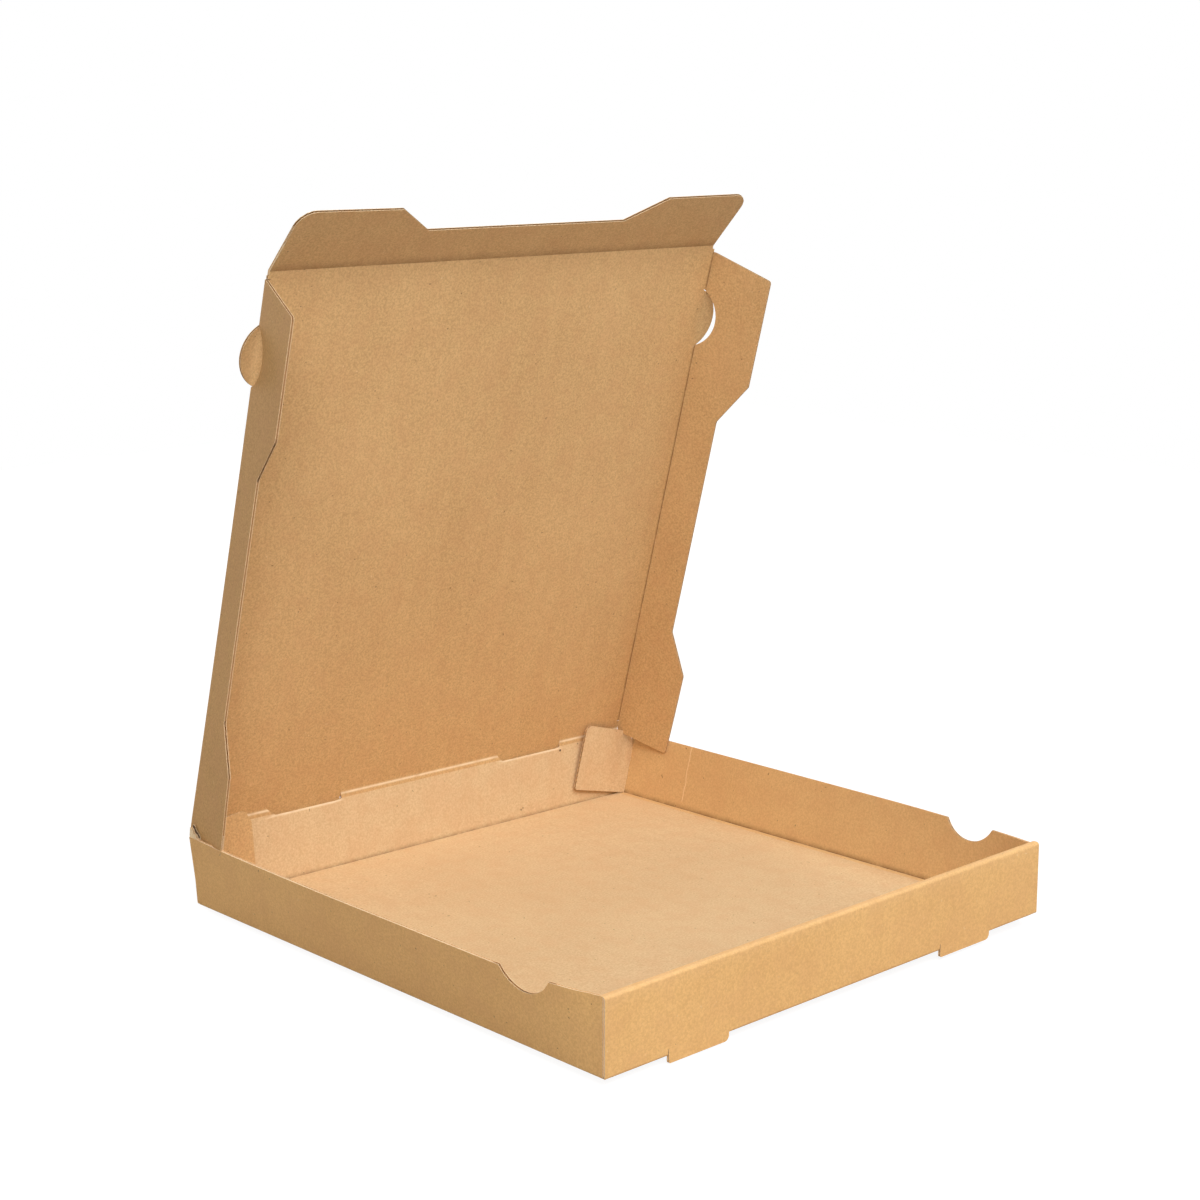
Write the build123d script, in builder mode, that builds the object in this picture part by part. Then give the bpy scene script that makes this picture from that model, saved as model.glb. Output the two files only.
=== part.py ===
from build123d import *
import os
from math import atan, cos, degrees, radians, sin, sqrt, tan

# A plain corrugated pizza box, folded from one die-cut sheet and standing with its lid up.
# Millimetres. The origin is the middle of the tray's floor, on its underside.
# +X runs to the right along the rolled front wall, +Y to the rear wall and +Z up.

# Board and the clearances between its folds
board = 1.5
hinge_gap = 0.2
seat_gap = 0.25
crease_radius = 0.8
overrun = 6.0

# Tray
tray_width = 330.0
tray_depth = 333.0
side_height = 40.0
front_height = 41.0
hinge_height = 43.5
rear_lean = 3.4
side_flare = 9.2
flare_place_shares = (0, 0.105, 0.3, 0.6, 1)
flare_shares = (0, 0.5, 0.85, 0.98, 1)

# Rolled front wall, with feet below its fold and lock tabs that drop into the floor
roll_gap = 2.0
roll_radius = 0.4
foot_place = 102.0
foot_width = 41.5
foot_drop = 4.1
foot_left_radius = 1.0
foot_right_radius = 3.0
foot_slit = 3.5
foot_slit_width = 0.5
lock_inset = 1.0

# Tabs of the side walls, folded in behind the front panel
front_tab_length = 32.0
front_tab_drop = 1.0
front_tab_slant = 4.0

# Thumb notches in both side walls
notch_radius = 19.4
notch_from_front = 51.5
notch_depth = 10.0

# Tabs of the side walls at the rear: the left one lies along the rear wall, the right one
# stands loose and tilted
left_tab_length = 38.0
left_tab_height = 37.4
left_tab_tilt = 2.5
left_tab_top_run = 9.0
left_tab_top_drop = 8.0
left_tab_corner = 4.5
left_tab_lift = 9.0
right_tab_length = 43.0
right_tab_height = 35.5
right_tab_tilt = 7.0
right_tab_top_run = 14.0
right_tab_top_drop = 9.0
right_tab_corner = 2.8
rear_tab_radius = 3.0
right_tab_lift = 1.5

# Cut-outs in the rear wall, where the lid's stub tabs were cut from
stub_place = 86.0
stub_width = 51.0
stub_end_width = 47.0
stub_reach = 4.0
stub_radius = 3.0
stub_clearance = 0.3

# Lid, inside the side walls, with an ear on each side that the side flap leaves behind
lid_side_gap = 1.4
lid_short = 8.4
lid_lean = 14.3
lid_corner = 4.6
ear_from_front = 45.6
ear_radius = 19.0
ear_height = 10.0
ear_clearance = 0.8

# Side flaps: widths are measured from the crease, the lobe and the waist's start from the
# lid's hinge, and the hand hold from the lid's front
flap_fold = 73.5
flap_rear = 6.9
flap_rear_width = 34.2
flap_rear_cut = 15.5
flap_lobe_width = 38.4
flap_lobe_end = 52.3
flap_waist_width = 24.4
flap_waist_start = 78.0
flap_hand_width = 40.4
flap_hand_from_front = 10.6
flap_hand_length = 66.6
flap_hand_slant = 27.5

# Front tuck flap
tuck_fold = 28.5
tuck_overhang = 0.9
tuck_depth = 43.0
tuck_corner_radius = 10.0
tuck_ear_half = 96.0
tuck_recess_half = 71.0
tuck_recess_depth = 25.6

# Rounding of the flaps' cut corners
cut_radius = 1.5

# Places that follow from these sizes
half_width = tray_width / 2
half_depth = tray_depth / 2
roll_depth = 2 * board + roll_gap
outer_panel_back = -half_depth + board
inner_panel_front = -half_depth + board + roll_gap
rear_panel_front = half_depth - board
front_tab_front = outer_panel_back + seat_gap
right_tab_back = rear_panel_front - 2 * seat_gap
left_tab_back = rear_panel_front - seat_gap
rear_lean_slope = rear_lean / hinge_height
rear_lean_angle = degrees(atan(rear_lean_slope))
rear_panel_height = sqrt(hinge_height**2 + rear_lean**2)
hinge_edge = board / 2 + hinge_gap
wall_lean_slope = side_flare / side_height
front_tab_top = front_height - board - seat_gap
front_tab_end = half_width - front_tab_length
lid_width = tray_width - 2 * (board + lid_side_gap)
lid_depth = tray_depth - lid_short
ear_middle = lid_width / 2 + ear_height - ear_radius
ear_from_hinge = lid_depth - ear_from_front
flap_front_end = lid_depth - lid_corner
flap_hand_end = lid_depth - flap_hand_from_front
flap_hand_start = flap_hand_end - flap_hand_length
flap_waist_end = flap_hand_start - flap_hand_slant
tuck_width = lid_width + 2 * tuck_overhang

lid_up = Vector(0, -sin(radians(lid_lean)), cos(radians(lid_lean)))
lid_inward = Vector(0, -cos(radians(lid_lean)), -sin(radians(lid_lean)))
lid_pivot = Vector(0, half_depth - board / 2 + rear_lean, hinge_height)
lid_plane = Plane(origin=lid_pivot, x_dir=(1, 0, 0), z_dir=lid_inward)
tuck_along = lid_up * cos(radians(tuck_fold)) + lid_inward * sin(radians(tuck_fold))
tuck_plane = Plane(
    origin=lid_pivot + lid_up * lid_depth,
    x_dir=(1, 0, 0),
    z_dir=Vector(1, 0, 0).cross(tuck_along),
)
rear_plane = Plane(
    origin=(0, half_depth - board / 2, 0),
    x_dir=(1, 0, 0),
    z_dir=(0, -cos(radians(rear_lean_angle)), sin(radians(rear_lean_angle))),
)
left_tab_plane = Plane(
    origin=(0, left_tab_back, 0),
    x_dir=(1, 0, 0),
    z_dir=(0, -1, rear_lean_slope),
)
right_tab_plane = Plane.XZ.offset(-right_tab_back)
left_tab = (
    -1,
    left_tab_length,
    left_tab_height,
    left_tab_tilt,
    left_tab_top_run,
    left_tab_top_drop,
    left_tab_corner,
    left_tab_lift,
)
right_tab = (
    1,
    right_tab_length,
    right_tab_height,
    right_tab_tilt,
    right_tab_top_run,
    right_tab_top_drop,
    right_tab_corner,
    right_tab_lift,
)


def flap_plane(side):
    """Plane of a side flap, x running out from its crease and y from the hinge to the front."""
    sideways = Vector(side, 0, 0)
    outward = sideways * cos(radians(flap_fold)) + lid_inward * sin(radians(flap_fold))
    crease = lid_pivot + sideways * (lid_width / 2)
    return Plane(origin=crease, x_dir=outward, z_dir=outward.cross(lid_up))


def side_wall_edge(x, side, rear_end):
    """Points of one top edge of a side wall, which bows outwards from the rolled front."""
    run = rear_end - front_tab_front
    places = zip(flare_place_shares, flare_shares)
    return [
        (side * (x + side_flare * out_share), front_tab_front + run * place_share)
        for place_share, out_share in places
    ]


def stub_line(middle, crease, growth):
    """A stub tab below a crease: slanted on its left and rounded on its right."""
    left = middle - stub_width / 2 - growth
    right = middle + stub_width / 2 + growth
    end = crease - stub_reach - growth
    slant = stub_width - stub_end_width
    left_side = Polyline((right, crease), (left, crease), (left + slant, end))
    lower_edge = Line(left_side @ 1, (right - stub_radius - growth, end))
    corner = RadiusArc(lower_edge @ 1, (right, end + stub_radius + growth), -stub_radius - growth)
    Line(corner @ 1, left_side @ 0)


def rear_tab_outline(side, length, height, tilt, top_run, top_drop, corner, lift):
    """A rear tab's outline, seen from the front and tilted up away from its fold."""
    rise, run = sin(radians(tilt)), cos(radians(tilt))
    fold = half_width - board / 2
    flat = [
        (top_run, height),
        (length - corner, height),
        (length, height - corner),
        (length, lift),
        (0, 0),
    ]
    tilted = [
        (side * (fold - along * run + up * rise), board + seat_gap + along * rise + up * run)
        for along, up in flat
    ]
    fold_top = board + height - top_drop
    return [(side * (fold + wall_lean_slope * fold_top), fold_top), *tilted]


# Tray: the floor, four walls and corner tabs are one folded sheet
with BuildPart() as tray:
    # Floor
    with BuildSketch(Plane.XY):
        Rectangle(tray_width, tray_depth)
    extrude(amount=board)

    # Rolled front wall, drawn from its end: outer panel, flat top and inner panel
    with BuildSketch(Plane.YZ):
        with Locations((-half_depth + roll_depth / 2, 0)):
            Rectangle(roll_depth, front_height, align=(Align.CENTER, Align.MIN))
            Rectangle(
                roll_gap,
                front_height - board,
                align=(Align.CENTER, Align.MIN),
                mode=Mode.SUBTRACT,
            )
        with Locations((inner_panel_front, 0)):
            Rectangle(
                board,
                board + seat_gap,
                align=(Align.MIN, Align.MIN),
                mode=Mode.SUBTRACT,
            )
    extrude(amount=half_width, both=True)
    inner_crests = tray.edges().filter_by(Axis.X).filter_by_position(
        Axis.Z, front_height - board, front_height - board
    )
    fillet(inner_crests, roll_radius)
    outer_crests = tray.edges().filter_by(Axis.X).filter_by_position(
        Axis.Z, front_height, front_height
    )
    fillet(outer_crests, roll_radius + board)
    front_fold = tray.edges().filter_by(Axis.X).sort_by(Axis.Z).group_by(Axis.Z)[0]
    fillet(front_fold.sort_by(Axis.Y)[0], crease_radius)

    # Slots in the floor, then the feet below the front fold and the lock tabs above it
    with BuildSketch(Plane.XY):
        with Locations(
            (foot_width / 2 - foot_place, outer_panel_back),
            (foot_width / 2 + foot_place, outer_panel_back),
        ):
            Rectangle(
                foot_width + foot_slit_width,
                roll_gap + board + seat_gap,
                align=(Align.MAX, Align.MIN),
            )
    extrude(amount=board, mode=Mode.SUBTRACT)
    with BuildSketch(Plane.XY):
        with Locations(
            (-foot_place, inner_panel_front), (foot_place, inner_panel_front)
        ):
            Rectangle(
                foot_width - 2 * lock_inset, board, align=(Align.CENTER, Align.MIN)
            )
    extrude(amount=board + 2 * seat_gap)
    for foot_middle in (-foot_place, foot_place):
        with BuildSketch(Plane.XZ.offset(half_depth)) as foot:
            with Locations((foot_middle, crease_radius)):
                Rectangle(
                    foot_width,
                    foot_drop + crease_radius,
                    align=(Align.CENTER, Align.MAX),
                )
            low_corners = foot.vertices().group_by(Axis.Y)[0].sort_by(Axis.X)
            fillet(low_corners[0], foot_left_radius)
            low_corners = foot.vertices().group_by(Axis.Y)[0].sort_by(Axis.X)
            fillet(low_corners[-1], foot_right_radius)
        extrude(amount=-board)
        with BuildSketch(Plane.XZ.offset(half_depth)):
            with Locations((foot_middle - foot_width / 2, 0)):
                Rectangle(
                    foot_slit_width, foot_slit, align=(Align.MAX, Align.MIN)
                )
        extrude(amount=-board, mode=Mode.SUBTRACT)

    # Side walls, straight at the floor and bowed at the top
    for side, rear_end in ((-1, left_tab_back), (1, right_tab_back)):
        lean_back = rear_lean_slope * side_height if side < 0 else 0
        outer_line = side_wall_edge(half_width, side, rear_end + lean_back)
        inner_line = side_wall_edge(half_width - board, side, rear_end + lean_back)
        with BuildSketch(Plane.XY):
            with BuildLine():
                Polyline(
                    (side * half_width, front_tab_front),
                    (side * half_width, rear_end),
                    (side * (half_width - board), rear_end),
                    (side * (half_width - board), front_tab_front),
                    close=True,
                )
            make_face()
        with BuildSketch(Plane.XY.offset(side_height)):
            with BuildLine():
                Spline(*outer_line)
                Line(outer_line[-1], inner_line[-1])
                Spline(*reversed(inner_line))
                Line(inner_line[0], outer_line[0])
            make_face()
        loft(ruled=True)

    # Thumb notches through both side walls
    with BuildSketch(Plane.YZ):
        with Locations(
            (-half_depth + notch_from_front, side_height - notch_depth + notch_radius)
        ):
            Circle(notch_radius)
    extrude(amount=half_width + side_flare + overrun, both=True, mode=Mode.SUBTRACT)

    # Front tabs, held inside the rolled wall
    for side in (-1, 1):
        with BuildSketch(Plane.XZ.offset(-front_tab_front)):
            with BuildLine():
                Polyline(
                    (side * half_width, board),
                    (side * half_width, front_tab_top),
                    (side * front_tab_end, front_tab_top - front_tab_drop),
                    (side * front_tab_end, board + seat_gap + front_tab_slant),
                    (side * (front_tab_end + front_tab_slant), board + seat_gap),
                    (side * (half_width - board), board + seat_gap),
                    (side * (half_width - board), board),
                    close=True,
                )
            make_face()
        extrude(amount=-board)

    # Rear wall, leaning back, with the cut-outs for the lid's stub tabs
    with BuildSketch(rear_plane):
        Rectangle(
            tray_width,
            rear_panel_height - hinge_edge,
            align=(Align.CENTER, Align.MIN),
        )
    extrude(amount=board / 2, both=True)
    with BuildSketch(rear_plane):
        for stub_middle in (-stub_place, stub_place):
            with BuildLine():
                stub_line(stub_middle, rear_panel_height, stub_clearance)
            make_face()
    extrude(amount=overrun, both=True, mode=Mode.SUBTRACT)

    # Rear tabs, hinged on the leaning ends of the side walls
    for tab_plane, tab_sizes in ((left_tab_plane, left_tab), (right_tab_plane, right_tab)):
        with BuildSketch(tab_plane):
            with BuildLine():
                Polyline(*rear_tab_outline(*tab_sizes), close=True)
            outline = make_face()
            top_corners = outline.vertices().sort_by(Axis.Y)[-3:]
            fillet(top_corners, rear_tab_radius)
        extrude(amount=board)

tray.part.label = "tray"

# Lid panel with its stub tabs, corner stubs and ears
with BuildPart() as lid:
    with BuildSketch(lid_plane):
        Rectangle(
            lid_width + board,
            lid_depth - hinge_edge,
            align=(Align.CENTER, Align.MIN),
        )
        for side in (-1, 1):
            with Locations((side * (lid_width / 2 - hinge_edge), flap_rear - hinge_gap)):
                Rectangle(
                    overrun,
                    flap_front_end + 2 * hinge_gap - flap_rear,
                    align=(Align.MIN if side > 0 else Align.MAX, Align.MIN),
                    mode=Mode.SUBTRACT,
                )
        with Locations(
            (-ear_middle, ear_from_hinge), (ear_middle, ear_from_hinge)
        ):
            Circle(ear_radius)
        for stub_middle in (-stub_place, stub_place):
            with BuildLine():
                stub_line(stub_middle, 0, 0)
            make_face()
    extrude(amount=board / 2, both=True)
    with BuildSketch(Plane.YZ):
        with Locations((lid_pivot.Y, lid_pivot.Z)):
            Circle(board / 2)
    extrude(amount=lid_width / 2 + board / 2, both=True)
lid.part.label = "lid"

# Side flaps: a rounded crease edge, a wide hand hold at the front and a lobe at the rear
side_flaps = {}
for name, side in (("left_side_flap", -1), ("right_side_flap", 1)):
    with BuildPart() as flap:
        with BuildSketch(flap_plane(side)):
            with BuildLine():
                Polyline(
                    (0, flap_rear),
                    (0, flap_front_end),
                    (flap_hand_width, flap_hand_end),
                    (flap_hand_width, flap_hand_start),
                    (flap_waist_width, flap_waist_end),
                    (flap_waist_width, flap_waist_start),
                    (flap_lobe_width, flap_lobe_end),
                    (flap_lobe_width, flap_rear_cut),
                    (flap_rear_width, flap_rear),
                    close=True,
                )
            outline = make_face()
            cut_corners = outline.vertices().filter_by_position(
                Axis.X, flap_waist_width - cut_radius, flap_hand_width + cut_radius
            )
            fillet(cut_corners, cut_radius)
        extrude(amount=board / 2, both=True)
        flap_round = Plane(
            origin=flap_plane(side).origin + lid_up * flap_rear,
            x_dir=(1, 0, 0),
            z_dir=lid_up,
        )
        with BuildSketch(flap_round):
            Circle(board / 2)
        extrude(amount=flap_front_end - flap_rear)
        with BuildSketch(flap_plane(side)):
            with Locations((ear_height - ear_radius, ear_from_hinge)):
                Circle(ear_radius + ear_clearance)
        extrude(amount=overrun, both=True, mode=Mode.SUBTRACT)
    flap.part.label = name
    side_flaps[name] = flap.part

# Front tuck flap: two ears with a recess between them
with BuildPart() as front_tuck_flap:
    with BuildSketch(tuck_plane):
        with BuildLine():
            Polyline(
                (-tuck_width / 2, 0),
                (tuck_width / 2, 0),
                (tuck_width / 2, tuck_depth),
                (tuck_ear_half, tuck_depth),
                (tuck_recess_half, tuck_recess_depth),
                (-tuck_recess_half, tuck_recess_depth),
                (-tuck_ear_half, tuck_depth),
                (-tuck_width / 2, tuck_depth),
                close=True,
            )
        outline = make_face()
        far_corners = outline.vertices().group_by(Axis.Y)[-1].sort_by(Axis.X)
        fillet([far_corners[0], far_corners[-1]], tuck_corner_radius)
    extrude(amount=board / 2, both=True)
    with BuildSketch(Plane.YZ):
        with Locations((tuck_plane.origin.Y, tuck_plane.origin.Z)):
            Circle(board / 2)
    extrude(amount=tuck_width / 2, both=True)
front_tuck_flap.part.label = "front_tuck_flap"

os.makedirs("parts", exist_ok=True)
export_step(tray.part, "parts/tray.step")
export_step(lid.part, "parts/lid.step")
for name, flap_part in side_flaps.items():
    export_step(flap_part, f"parts/{name}.step")
export_step(front_tuck_flap.part, "parts/front_tuck_flap.step")
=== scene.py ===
from math import asin, atan, cos, degrees, floor, pi, radians, sin, sqrt, tan
import bmesh
import bpy
from mathutils import Matrix, Vector


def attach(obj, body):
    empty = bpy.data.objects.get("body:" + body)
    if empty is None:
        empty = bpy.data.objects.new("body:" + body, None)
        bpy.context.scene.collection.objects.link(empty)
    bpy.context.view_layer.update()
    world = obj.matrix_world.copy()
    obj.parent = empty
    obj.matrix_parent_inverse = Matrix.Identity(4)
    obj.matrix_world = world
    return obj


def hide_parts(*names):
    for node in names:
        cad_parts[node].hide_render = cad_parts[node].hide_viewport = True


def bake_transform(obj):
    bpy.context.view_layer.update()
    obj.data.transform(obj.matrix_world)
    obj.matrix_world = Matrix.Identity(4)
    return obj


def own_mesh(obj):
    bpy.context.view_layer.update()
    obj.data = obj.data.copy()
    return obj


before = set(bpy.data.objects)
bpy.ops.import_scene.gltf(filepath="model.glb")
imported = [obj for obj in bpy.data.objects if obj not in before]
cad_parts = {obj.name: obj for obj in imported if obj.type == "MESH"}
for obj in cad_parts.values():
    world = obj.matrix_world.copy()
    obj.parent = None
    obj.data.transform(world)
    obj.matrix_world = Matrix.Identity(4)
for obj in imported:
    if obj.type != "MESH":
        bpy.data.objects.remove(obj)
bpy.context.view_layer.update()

# A plain kraft pizza box that stands open. Every sheet of board is two liners with a fluted
# medium between them, drawn flat in millimetres and then folded into place.
# In a flat sheet "across" runs across the flutes and "along" runs with them, and a positive
# height is the side that faces into the box.
MM = 0.001

# Board
BOARD = 1.5
LINER = 0.24
MEDIUM = 0.16
FLUTE_PITCH = 3.3
FLUTE_STEPS = 8
CREASE = 0.95
SOFT_CREASE = 1.5
EDGE_INSET = 0.3
EDGE_FILL = 0.15
SHORTEST_FILL = 2.0
FILL_SLOPE = 0.05

# Grid cuts let a sheet bend, and flutes are made only near the cut edges that show
GRID = 9.0
CLOSE_GRID = 6.0
FOLD_STEPS = 6
ARC_STEPS = 24
CORNER_STEPS = 5
CUT_TOLERANCE = 1e-7
OVERRUN = 1.0
FLUTE_REACH = 3.0
EVERYWHERE = (-999.0, 999.0)

# Tray
TRAY_WIDTH = 330.0
TRAY_DEPTH = 333.0
FLOOR_MIDDLE = 0.35
FRONT_HEIGHT = 41.0
ROLL_DEPTH = 5.0
STRIP = 4.4
LOCK_GAP = 0.3
LOCK_INSET = 1.0
TAB_GAP = 0.25
HINGE_HEIGHT = 43.5
REAR_LEAN = 3.4
WALL_LENGTH = 40.0
NOTCH_RADIUS = 19.4
LEFT_NOTCH, RIGHT_NOTCH = 50.2, 51.5
NOTCH_DEPTH = 10.0
FOOT_PLACE = 102.0
FOOT_WIDTH = 41.5
FOOT_DROP = 4.1
FOOT_TOP = 2.0
FOOT_SLIT = 3.5
FOOT_CORNER_LEFT, FOOT_CORNER_RIGHT = 1.0, 3.0
SLIT_WIDTH = 0.5

# Bow of the side walls: outwards at the top edge, at shares of the wall's length
LEFT_BOW = ((0, 0), (0.08, 5.6), (0.19, 7.2), (0.6, 7.9), (0.72, 7.6), (0.9, 6.6), (1, 4.6))
RIGHT_BOW = ((0, 0), (0.105, 4.4), (0.3, 8.2), (0.6, 9.6), (0.9, 10.4), (1, 10.4))
LEFT_HEIGHT, LEFT_SINK = 41.0, 0.085
RIGHT_HEIGHT, RIGHT_SINK = 39.7, 0.03

# The box isn't quite square: how far its corners are twisted
TWIST = 1.37
HINGE_SKEW = 1.0
LID_SHIFT = 0.9
LID_SPREAD = 2.2
LID_TWIST = 0.08

# Lid
LID_HALF = 162.4
LID_DEPTH = 325.1
LID_LEAN = 14.75
LID_CORNER = 4.6
LID_LEAD = 2.5
STUB_PLACE = 86.0
STUB_WIDTH = 51.0
STUB_REACH = 5.2
STUB_HOLE = 4.2
STUB_SLANT = 4.0
STUB_CORNER = 3.0
CORNER_CLEAR = 0.01
STUB_GAP = 0.3
EAR_PLACE = 279.2
EAR_RADIUS = 19.0
EAR_HEIGHT = 10.0
EAR_GAP = 0.5
FLAP_REAR = 6.0
FLAP_HEEL = 16.0
FLAP_WIDTH = 40.4
FLAP_WAIST = 24.4
HEEL_WIDTH = 38.3
HEEL_EDGE = 0.5
WAIST_START, WAIST_LOW, WAIST_HIGH, WAIST_END = 52.3, 78.0, 219.9, 247.4
FLAP_TIP = 314.0
LEFT_FOLD, LEFT_REAR_FOLD = 75.5, 6.0
RIGHT_FOLD, RIGHT_REAR_FOLD = 72.3, 4.0
TUCK_FOLD = 28.5
TUCK_LEFT, TUCK_RIGHT = 161.4, 160.4
TUCK_DEPTH = 42.5
TUCK_EAR_HALF = 96.0
TUCK_EAR_DROP = 0.6
TUCK_EAR_CORNER = 10.0
TUCK_RECESS_HALF, TUCK_RECESS_DEPTH = 71.0, 25.1
TUCK_RECESS_CORNER = 2.0
HINGE_STRIP = 3.0

HALF_WIDTH = TRAY_WIDTH / 2
HALF_DEPTH = TRAY_DEPTH / 2
HALF_BOARD = BOARD / 2


def smooth(value):
    value = min(max(value, 0.0), 1.0)
    return value * value * (3 - 2 * value)


def bow_at(points, share):
    """Outward bow at a share of the wall's length, its table smoothed over a short stretch."""

    def plain(place):
        place = min(max(place, 0.0), 1.0)
        for (low, low_value), (high, high_value) in zip(points, points[1:]):
            if place <= high:
                return low_value + (high_value - low_value) * (place - low) / (high - low)
        return points[-1][1]

    offsets = (-0.04, -0.02, 0, 0.02, 0.04)
    mean = sum(plain(share + offset) for offset in offsets) / len(offsets)
    return mean * smooth(share / 0.04)


def arc_points(centre, radius, start, end, steps):
    """Points on an arc, its angles in degrees from the first axis."""
    angles = [radians(start + (end - start) * i / steps) for i in range(steps + 1)]
    return [(centre[0] + radius * cos(a), centre[1] + radius * sin(a)) for a in angles]


def rounded(points):
    """An outline from corners (across, along, radius), each rounded by its radius."""
    count = len(points)
    result = []
    for i, (across, along, size) in enumerate(points):
        here = Vector((across, along))
        before = Vector(points[i - 1][:2]) - here
        after = Vector(points[(i + 1) % count][:2]) - here
        if size <= 0:
            result.append((across, along))
            continue
        reach = size / tan(before.angle(after) / 2)
        start, end = here + before.normalized() * reach, here + after.normalized() * reach
        middle = here + (before.normalized() + after.normalized()).normalized() * (
            size / sin(before.angle(after) / 2)
        )
        for step in range(CORNER_STEPS + 1):
            spoke = start.lerp(end, step / CORNER_STEPS) - middle
            point = middle + spoke.normalized() * size
            result.append((point.x, point.y))
    return result


def heading_of(angle):
    return Vector((cos(angle), sin(angle)))


def left_of(angle):
    return Vector((-sin(angle), cos(angle)))


def creased(distance, folds, height):
    """A point of a sheet's profile, which starts at zero and has folds (distance, turn, radius)."""
    place, heading, last = Vector((0.0, 0.0)), 0.0, 0.0
    for spot, turn, radius in folds:
        back = radius * tan(turn / 2)
        if distance < spot - back:
            break
        corner = place + heading_of(heading) * (spot - last)
        if distance < spot + back:
            centre = corner - heading_of(heading) * back + left_of(heading) * radius
            now = heading + turn * (distance - spot + back) / (2 * back)
            return centre - left_of(now) * (radius - height)
        place, last, heading = corner, spot, heading + turn
    return place + heading_of(heading) * (distance - last) + left_of(heading) * height


def fold_cuts(spot, turn, radius):
    """Close grid cuts through a fold, as cut_lines takes them."""
    back = radius * tan(turn / 2)
    return (spot - back, spot + back, FOLD_STEPS)


def cut_lines(low, high, pitch, zones=()):
    """Places of the grid cuts: even ones, and close ones inside each zone (start, end, steps)."""
    count = round((high - low) / pitch)
    lines = [low + (high - low) * i / count for i in range(1, count)]
    for start, end, steps in zones:
        lines = [line for line in lines if not start - OVERRUN < line < end + OVERRUN]
        lines += [start + (end - start) * i / steps for i in range(steps + 1)]
    return sorted(lines)


def cut_grid(bm, axis, cuts):
    """A flat mesh cut across one axis at each place, without losing anything."""
    for cut in cuts:
        place, normal = Vector((0, 0, 0)), Vector((0, 0, 0))
        place[axis], normal[axis] = cut * MM, 1.0
        bmesh.ops.bisect_plane(
            bm,
            geom=bm.verts[:] + bm.edges[:] + bm.faces[:],
            dist=CUT_TOLERANCE,
            plane_co=place,
            plane_no=normal,
        )


def raise_faces(bm, rise):
    """Faces lifted into a closed plate, in millimetres."""
    raised = bmesh.ops.extrude_face_region(bm, geom=bm.faces[:])
    lifted = [item for item in raised["geom"] if isinstance(item, bmesh.types.BMVert)]
    bmesh.ops.translate(bm, vec=(0, 0, rise * MM), verts=lifted)
    bmesh.ops.recalc_face_normals(bm, faces=bm.faces[:])


def outline_face(outline, height):
    bm = bmesh.new()
    bm.faces.new([bm.verts.new((a * MM, b * MM, height * MM)) for a, b in outline])
    return bm


def mesh_of(bm, name="sheet"):
    mesh = bpy.data.meshes.new(name)
    bm.to_mesh(mesh)
    bm.free()
    return mesh


def add_piece(name, mesh):
    piece = bpy.data.objects.new(name, mesh)
    bpy.context.scene.collection.objects.link(piece)
    return piece


def liner(outline, low, across_cuts, along_cuts):
    """One liner, with the inner, edge, flute or outer finish as material 0 to 3 in a board."""
    bm = outline_face(outline, low)
    cut_grid(bm, 0, across_cuts)
    cut_grid(bm, 1, along_cuts)
    raise_faces(bm, LINER)
    bm.normal_update()
    for face in bm.faces:
        face.material_index = 1 if abs(face.normal.z) < 0.5 else 0 if low > 0 else 3
    return mesh_of(bm)


def wave(zone, row_length):
    """The wavy medium in one zone of a sheet: low and high across, low and high along."""
    low_across, high_across, low_along, high_along = zone
    swing = HALF_BOARD - LINER - MEDIUM / 2
    step = FLUTE_PITCH / FLUTE_STEPS
    bm = bmesh.new()
    row = []
    for i in range(floor(low_across / step), floor(high_across / step) + 2):
        lift = swing * sin(2 * pi * i / FLUTE_STEPS) - MEDIUM / 2
        row.append(bm.verts.new((i * step * MM, low_along * MM, lift * MM)))
    edges = [bm.edges.new(pair) for pair in zip(row, row[1:])]
    grown = bmesh.ops.extrude_edge_only(bm, edges=edges)["geom"]
    verts = [item for item in grown if isinstance(item, bmesh.types.BMVert)]
    bmesh.ops.translate(bm, vec=(0, (high_along - low_along) * MM, 0), verts=verts)
    count = max(1, round((high_along - low_along) / row_length))
    cut_grid(bm, 1, [low_along + (high_along - low_along) * i / count for i in range(1, count)])
    raise_faces(bm, MEDIUM)
    return mesh_of(bm)


def trimmed(mesh, outline):
    """A wave cut to the sheet's outline."""
    block = outline_face(outline, -BOARD)
    raise_faces(block, 2 * BOARD)
    stamp = add_piece("stamp", mesh_of(block))
    piece = add_piece("wave", mesh)
    trim = piece.modifiers.new("trim", "BOOLEAN")
    trim.operation = "INTERSECT"
    trim.solver = "EXACT"
    trim.object = stamp
    bpy.context.view_layer.update()
    ready = piece.evaluated_get(bpy.context.evaluated_depsgraph_get())
    result = bpy.data.meshes.new_from_object(ready)
    for spare in (piece, stamp):
        spare_mesh = spare.data
        bpy.data.objects.remove(spare)
        bpy.data.meshes.remove(spare_mesh)
    return result


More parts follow.
